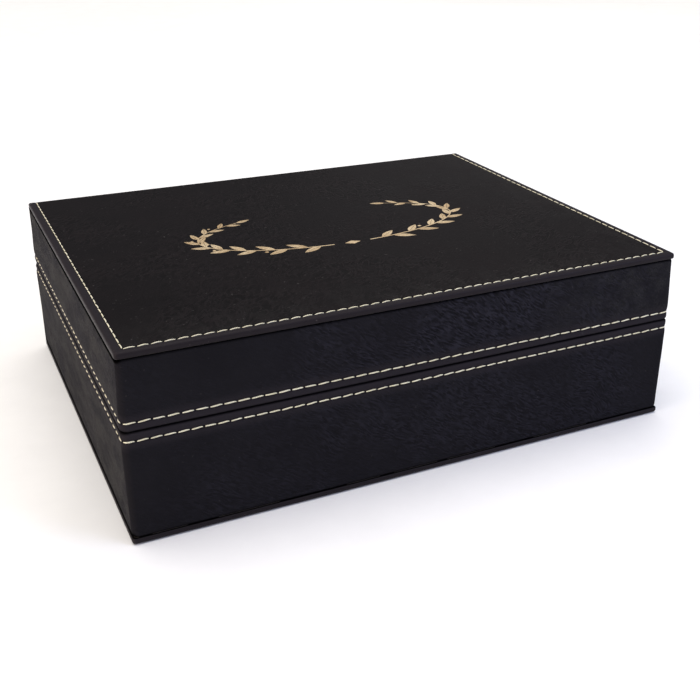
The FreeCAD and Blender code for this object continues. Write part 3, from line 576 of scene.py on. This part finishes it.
low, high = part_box("hinge_fold")
bm = bmesh.new()
bmesh.ops.create_cone(bm, cap_ends=True, segments=hinge["foldSides"], radius1=hinge["fold"] * mm,
                      radius2=hinge["fold"] * mm, depth=high.x - low.x,
                      matrix=Matrix.Translation((0, axisY * mm, axisZ * mm)) @ Matrix.Rotation(math.pi / 2, 4, "Y"))
runs = [e for e in bm.edges if e.calc_length() > 100 * mm]
bmesh.ops.subdivide_edges(bm, edges=runs, cuts=hinge["foldCuts"])
deep, often = hinge["pucker"]
for v in bm.verts:  # faint puckers along the fold
    v.co.y += deep * mm * math.sin(v.co.x / mm * often)
caps = [e for e in bm.edges if all(abs(abs(v.co.x) - high.x) < 1e-6 for v in e.verts)]
bmesh.ops.bevel(bm, geom=caps, offset=hinge["foldEdge"] * mm, segments=2, profile=0.5, affect="EDGES", material=-1)
addPiece("hinge_roll", bm, [wallLeather], "base", ["hinge_fold"])


# sewing: each stitch is one short arched length of thread, leaning a little, between two needle holes
sewing = dict(fill=0.86, sideFill=0.66, width=0.62, sideWidth=0.5, thick=0.46, arch=0.2, sink=0.1, sides=6,
              hole=0.42, holeLength=1.25, holeLift=0.04, hook=0.22, hookFrom=0.38, endRadius=0.34,
              rings=((-0.45, 0.46), (-0.25, 0.5), (0.0, 0.52), (0.25, 0.5), (0.45, 0.46), (0.5, 0.34)))


def makeStitch():  # one unit long on X, one unit thick
    bm = bmesh.new()
    turn = Matrix.Translation((-0.5, 0, 0)) @ Matrix.Rotation(math.pi / 2, 4, "Y")
    bmesh.ops.create_circle(bm, segments=sewing["sides"], radius=sewing["endRadius"], matrix=turn)
    chain, was, size = list(bm.edges), -0.5, sewing["endRadius"]
    for x, radius in sewing["rings"]:
        verts, chain = growLoop(bm, chain)
        bmesh.ops.translate(bm, verts=verts, vec=(x - was, 0, 0))
        bmesh.ops.scale(bm, verts=verts, vec=(1, radius / size, radius / size))
        was, size = x, radius
    bmesh.ops.holes_fill(bm, edges=[e for e in bm.edges if e.is_boundary], sides=0)
    bmesh.ops.recalc_face_normals(bm, faces=bm.faces)
    mesh = bpy.data.meshes.new("one_stitch")
    bm.to_mesh(mesh)
    bm.free()
    return mesh


def makeHole():
    bm = bmesh.new()
    bmesh.ops.create_circle(bm, cap_ends=True, cap_tris=True, segments=8, radius=1.0)
    for face in bm.faces:
        face.material_index = 1
    mesh = bpy.data.meshes.new("one_hole")
    bm.to_mesh(mesh)
    bm.free()
    return mesh


oneStitch, oneHole = makeStitch(), makeHole()


# path gives a point, its outward normal and its sideways direction; the pitch tightens by drift along the row
def sewRow(bm, path, length, pitch, lean, curl, drift=0.0):
    count = round(length / pitch)
    step = length / count

    def reach(part):
        return length * (part + drift * part * (1 - part))

    for k in range(count):
        first = len(bm.verts)
        bm.from_mesh(oneStitch)
        bm.verts.ensure_lookup_table()
        tilt = lean + random.uniform(-0.12, 0.12)  # no two stitches are quite alike
        part = (k + 0.5) / count
        middle = reach(part)
        onSide, ontoSide = (abs(way.x) > 0.8 for way in path(middle)[1:])
        fat = sewing["sideWidth" if onSide or ontoSide else "width"] * random.uniform(0.93, 1.05)
        long = step * sewing["sideFill" if onSide else "fill"] * random.uniform(0.96, 1.03)
        rise = sewing["arch"] * random.uniform(0.85, 1.15)
        for v in bm.verts[first:]:
            t, y, z = v.co
            point, normal, sideways = path(middle + t * long * (1 + drift * (1 - 2 * part)))
            bow = 1 - (2 * t) ** 2
            hooked = sewing["hook"] * max(0.0, t - sewing["hookFrom"]) / (0.5 - sewing["hookFrom"])
            off = y * fat + tilt * t * 2 + curl * bow - hooked
            up = z * sewing["thick"] + rise * bow - sewing["sink"]
            v.co = (point + sideways * off + normal * up) * mm
    for k in range(count + 1):
        first = len(bm.verts)
        bm.from_mesh(oneHole)
        bm.verts.ensure_lookup_table()
        for v in bm.verts[first:]:
            t, y = v.co.xy
            point, normal, sideways = path(reach(k / count) + t * sewing["hole"] * sewing["holeLength"])
            v.co = (point + sideways * y * sewing["hole"] + normal * sewing["holeLift"]) * mm
    return count


rimRow = dict(pitch=dict(lid=5.36, base=5.08), lean=0.14, curl=0.0, backEnd=3.0)
for half, toward in (("lid", 1), ("base", -1)):
    low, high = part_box(half + "_side_leatherette")
    rimZ = (low.z if toward > 0 else high.z) / mm
    r = band["corner"]
    cx, cy, endY = high.x / mm - r, low.y / mm + r, high.y / mm - rimRow["backEnd"]
    out = r - band["rowDepth"]
    sideRun, bend, frontRun = endY - cy, out * math.pi / 2, 2 * cx
    height = rimZ + toward * band["rowAt"]

    def rimPath(s):  # from the back of the left side round the front to the back of the right side
        right = s > sideRun + bend + frontRun / 2
        if right:
            s = 2 * sideRun + 2 * bend + frontRun - s
        side = 1 if right else -1
        if s < sideRun:
            point, normal = Vector((side * (cx + out), endY - s, height)), Vector((side, 0, 0))
        elif s < sideRun + bend:
            turn = (s - sideRun) / out
            normal = Vector((side * math.cos(turn), -math.sin(turn), 0))
            point = Vector((side * cx, cy, height)) + normal * out
        else:
            point, normal = Vector((side * (cx - (s - sideRun - bend)), cy - out, height)), Vector((0, -1, 0))
        return point, normal, Vector((0, 0, 1))

    bm = bmesh.new()
    sewn = sewRow(bm, rimPath, 2 * sideRun + 2 * bend + frontRun, rimRow["pitch"][half], rimRow["lean"],
                  rimRow["curl"])
    addPiece(half + "_rim_sewing", bm, [thread, needleHoleShadow], half, [half + "_rim_stitching"], turnOut=False)
    print(half, "rim row:", sewn, "stitches")

topRow = dict(frontPitch=4.6, drift=0.06, sidePitch=5.03, lean=0.3, sideLean=0.1, curl=0.1)
low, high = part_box("lid_top_leatherette")
rowX, rowY = high.x / mm - plate["rowIn"], low.y / mm + plate["rowIn"]
rowZ, endY = high.z / mm - plate["rowDepth"], high.y / mm - plate["backRound"]
up = Vector((0, 0, 1))
bm = bmesh.new()
sideRow = (endY - rowY, topRow["sidePitch"], topRow["sideLean"], 0.0)
sewRow(bm, lambda s: (Vector((-rowX, endY - s, rowZ)), up, Vector((1, 0, 0))), *sideRow)
sewRow(bm, lambda s: (Vector((s - rowX, rowY, rowZ)), up, Vector((0, 1, 0))), 2 * rowX, topRow["frontPitch"],
       topRow["lean"], topRow["curl"], topRow["drift"])
sewRow(bm, lambda s: (Vector((rowX, rowY + s, rowZ)), up, Vector((-1, 0, 0))), *sideRow)
addPiece("lid_top_sewing", bm, [thread, needleHoleShadow], "lid", ["lid_top_stitching"], turnOut=False)
print("sewing done")

# lining: velvet on card, edges softened where the cloth turns round
lining = dict(edge=0.55, edgeShare=0.42, gap=0.62, cuts=10)


def linedPanel(node, body, clearX=(0, 0), clearY=(0, 0)):
    low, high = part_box(node)
    low = low + Vector((clearX[0], clearY[0], 0)) * mm
    high = high - Vector((clearX[1], clearY[1], 0)) * mm
    bm = bmesh.new()
    bmesh.ops.create_cube(bm, size=1.0)
    bmesh.ops.scale(bm, verts=bm.verts, vec=high - low)
    bmesh.ops.translate(bm, verts=bm.verts, vec=(low + high) / 2)
    edge = min(lining["edge"] * mm, min(high - low) * lining["edgeShare"])
    bmesh.ops.bevel(bm, geom=bm.edges[:], offset=edge, segments=3, profile=0.5, affect="EDGES", material=-1)
    runs = [e for e in bm.edges if e.calc_length() > 20 * mm]
    bmesh.ops.subdivide_edges(bm, edges=runs, cuts=lining["cuts"], use_grid_fill=True)
    name = node.replace("_lining", "_velvet").replace("_panel", "_velvet")
    addPiece(name, bm, [velvet], body, [node])


gap = lining["gap"]
for half, floor in (("base", "base_floor_panel"), ("lid", "lid_ceiling_panel")):
    linedPanel(half + "_front_lining", half, clearY=(gap, 0))
    linedPanel(half + "_back_lining", half, clearY=(0, gap))
    linedPanel(half + "_left_lining", half, clearX=(gap, 0))
    linedPanel(half + "_right_lining", half, clearX=(0, gap))
    linedPanel(floor, half)

# foil ornament: two plain leafy sprays that bend round a bare middle
spray = dict(radii=(64.0, 27.0), centre=(0.0, 2.0), start=-82.0, end=52.0, pairs=9, leaf=(11.0, 3.6), least=0.62,
             tip=0.7, spreadAngle=34.0, rib=0.16, stem=0.8, stemEnd=0.45, stemSteps=40, berry=0.95, berryOut=2.6,
             lozenge=(2.6, 1.5, 0.8), thick=0.03, lift=0.015, stemLift=0.018, layers=(0.012, 0.006), berryLift=0.075)


def addLeaf(bm, at, heading, long, wide, z):
    made = bmesh.ops.create_circle(bm, cap_ends=True, segments=16, radius=1.0)["verts"]
    for v in made:  # the outline of a leaf, fuller towards its foot
        x, y = v.co.x, v.co.y
        v.co.y = math.copysign((1 - x * x) * (1 - 0.25 * x), y) if abs(y) > 1e-6 else 0.0
    faces = list({f for v in made for f in v.link_faces})
    edges = list({e for v in made for e in v.link_edges})
    cut = bmesh.ops.bisect_plane(bm, geom=made + edges + faces, plane_co=(0, 0, 0), plane_no=(0, 1, 0))
    rib = [g for g in cut["geom_cut"] if isinstance(g, bmesh.types.BMEdge)]
    halves = [g for g in cut["geom"] if isinstance(g, bmesh.types.BMFace)]
    bmesh.ops.split_edges(bm, edges=[e for e in rib if len(e.link_faces) == 2])
    turn = Matrix.Translation(Vector((*at, z)) * mm) @ Matrix.Rotation(heading, 4, "Z")
    for face in halves:
        side = math.copysign(spray["rib"] / 2, face.calc_center_median().y)
        for v in face.verts:
            v.co = turn @ Vector(((v.co.x + 1) * long / 2 * mm, (v.co.y * wide / 2 + side) * mm, 0))


def sprayAt(t, side):  # a point on the stem and the way it grows
    turn = math.radians(spray["start"] + (spray["end"] - spray["start"]) * t)
    rx, ry = spray["radii"]
    at = (side * (spray["centre"][0] + rx * math.cos(turn)), spray["centre"][1] + ry * math.sin(turn))
    return at, math.atan2(ry * math.cos(turn), -side * rx * math.sin(turn))


def acrossStem(heading):
    return Vector((-math.sin(heading), math.cos(heading), 0))


low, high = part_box("lid_top_leatherette")
foilZ, stemZ = high.z / mm + spray["lift"], high.z / mm + spray["stemLift"]
bm = bmesh.new()
for side in (-1, 1):
    for k in range(spray["pairs"]):
        t = (k + 0.6) / spray["pairs"] * 0.97  # from the foot of the stem to just short of its tip
        size = 1 - (1 - spray["least"]) * t
        for lean in (-1, 1):
            at, heading = sprayAt(t - 0.02 * lean, side)
            layer = spray["layers"][0] * (k % 3) + spray["layers"][1] * (lean > 0)  # leaves lie one on another
            addLeaf(bm, at, heading + lean * math.radians(spray["spreadAngle"]), spray["leaf"][0] * size,
                    spray["leaf"][1] * size, foilZ + layer)
        at, heading = sprayAt(t + 0.05, side)
        dot = Vector((*at, foilZ + spray["berryLift"]))
        dot += acrossStem(heading) * (spray["berryOut"] if k % 2 else -spray["berryOut"])
        bmesh.ops.create_circle(bm, cap_ends=True, segments=10, radius=spray["berry"] * size * mm,
                                matrix=Matrix.Translation(dot * mm))
    at, heading = sprayAt(1.0, side)
    addLeaf(bm, at, heading, spray["leaf"][0] * spray["tip"], spray["leaf"][1] * spray["tip"], foilZ)
    # stem: a short edge swept along the spray
    at, heading = sprayAt(0.0, side)
    across = acrossStem(heading) * spray["stem"] / 2
    ends = [bm.verts.new((Vector((*at, stemZ)) + across * way) * mm) for way in (1, -1)]
    chain = [bm.edges.new(ends)]
    for i in range(1, spray["stemSteps"] + 1):
        verts, chain = growLoop(bm, chain)
        was, wasHeading = at, heading
        at, heading = sprayAt(i / spray["stemSteps"], side)
        thin = spray["stem"] * (1 - (1 - spray["stemEnd"]) * i / spray["stemSteps"]) / 2
        for v in verts:
            way = math.copysign(1.0, (v.co / mm - Vector((*was, stemZ))).dot(acrossStem(wasHeading)))
            v.co = (Vector((*at, stemZ)) + acrossStem(heading) * way * thin) * mm
# a plain lozenge ties the two sprays
size, long, wide = spray["lozenge"]
tie = Vector((0, spray["centre"][1] - spray["radii"][1], foilZ))
bmesh.ops.create_circle(bm, cap_ends=True, segments=4, radius=size * mm,
                        matrix=Matrix.Translation(tie * mm) @ Matrix.Diagonal((long, wide, 1, 1)))
bmesh.ops.recalc_face_normals(bm, faces=bm.faces)
for face in bm.faces:
    if face.normal.z < 0:
        face.normal_flip()
bmesh.ops.solidify(bm, geom=bm.faces[:], thickness=spray["thick"] * mm)
mesh = bpy.data.meshes.new("lid_foil_sprays")
bm.to_mesh(mesh)
bm.free()
mesh.materials.append(foil)
ornament = bpy.data.objects.new("lid_foil_sprays", mesh)
bpy.context.scene.collection.objects.link(ornament)
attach(ornament, "lid")
print("ornament", len(mesh.polygons), "faces")

# hidden boards and magnets keep their CAD shapes
for name, node in frame["nodes"].items():
    if not node.hide_render:
        node.data.materials.clear()
        node.data.materials.append(nickel if "magnet" in name else fibreboard)

# floor, light and camera
studio = dict(floorHalf=12.0, floorDrop=0.0003, world="#C2C8D2", strength=0.3, backdrop="#FDFDFC",
              aim=(0, 0, 0.04))
bm = bmesh.new()
bmesh.ops.create_grid(bm, x_segments=4, y_segments=4, size=studio["floorHalf"],
                      matrix=Matrix.Translation((0, 0, -studio["floorDrop"])))
mesh = bpy.data.meshes.new("floor")
bm.to_mesh(mesh)
bm.free()
mesh.materials.append(floorPaint)
floorPiece = bpy.data.objects.new("floor", mesh)
bpy.context.scene.collection.objects.link(floorPiece)

softboxes = dict(
    overhead=dict(kind="SUN", at=(-0.1, 0.1, 1.0), size=math.radians(80), power=3.1, colour="#FFFAF5"),
    left=dict(kind="AREA", at=(-1.45, -0.25, 0.2), size=0.7, power=16.0, colour="#FFEBDF"),
    front=dict(kind="AREA", at=(0.6, -0.65, 0.6), size=0.5, power=4.2, colour="#C4D2FF"),
    behind=dict(kind="AREA", at=(0.85, 1.35, 0.5), size=0.6, power=0.5, colour="#FFF8F4"))
for name, look in softboxes.items():
    lamp = bpy.data.lights.new(name, look["kind"])
    lamp.energy, lamp.color = look["power"], hexColour(look["colour"])[:3]
    if look["kind"] == "SUN":
        lamp.angle = look["size"]
    else:
        lamp.shape, lamp.size = "SQUARE", look["size"]
    holder = bpy.data.objects.new(name, lamp)
    holder.location = look["at"]
    holder.rotation_euler = (Vector(studio["aim"]) - Vector(look["at"])).to_track_quat("-Z", "Y").to_euler()
    bpy.context.scene.collection.objects.link(holder)

world = bpy.data.worlds.new("studio")
world.use_nodes = True
sky = world.node_tree
sky.nodes.clear()
fill = addNode(sky, "ShaderNodeBackground", {"Color": hexColour(studio["world"]), "Strength": studio["strength"]})
paper = addNode(sky, "ShaderNodeBackground", {"Color": hexColour(studio["backdrop"])})  # what is seen past the floor
ray = addNode(sky, "ShaderNodeLightPath")
room = addNode(sky, "ShaderNodeMixShader", {}, {0: ray.outputs["Is Camera Ray"], 1: fill.outputs[0],
                                                2: paper.outputs[0]})
addNode(sky, "ShaderNodeOutputWorld", {}, {"Surface": room.outputs[0]})
bpy.context.scene.world = world
bpy.context.scene.view_settings.view_transform = "Standard"

# angles in degrees, lengths in mm
eye = dict(azimuth=-26.0749, elevation=22.3336, roll=0.4611, lens=53.0504, sensor=36.0, distance=504.882,
           target=(23.599, -10.473, 41.585), shift=(-0.05, -0.0714), clip=(0.02, 40.0))
az, el, roll = (math.radians(eye[k]) for k in ("azimuth", "elevation", "roll"))
back = Vector((math.sin(az) * math.cos(el), -math.cos(az) * math.cos(el), math.sin(el)))
right = Vector((math.cos(az), math.sin(az), 0))
above = back.cross(right)
right, above = right * math.cos(roll) + above * math.sin(roll), above * math.cos(roll) - right * math.sin(roll)
lens = bpy.data.cameras.new("camera")
lens.lens, lens.sensor_width = eye["lens"], eye["sensor"]
lens.shift_x, lens.shift_y = eye["shift"]
lens.clip_start, lens.clip_end = eye["clip"]  # metres
viewer = bpy.data.objects.new("camera", lens)
stand = Matrix((right, above, back)).transposed().to_4x4()
stand.translation = (Vector(eye["target"]) + back * eye["distance"]) * mm
viewer.matrix_world = stand
bpy.context.scene.collection.objects.link(viewer)
bpy.context.scene.camera = viewer
print("stage set")
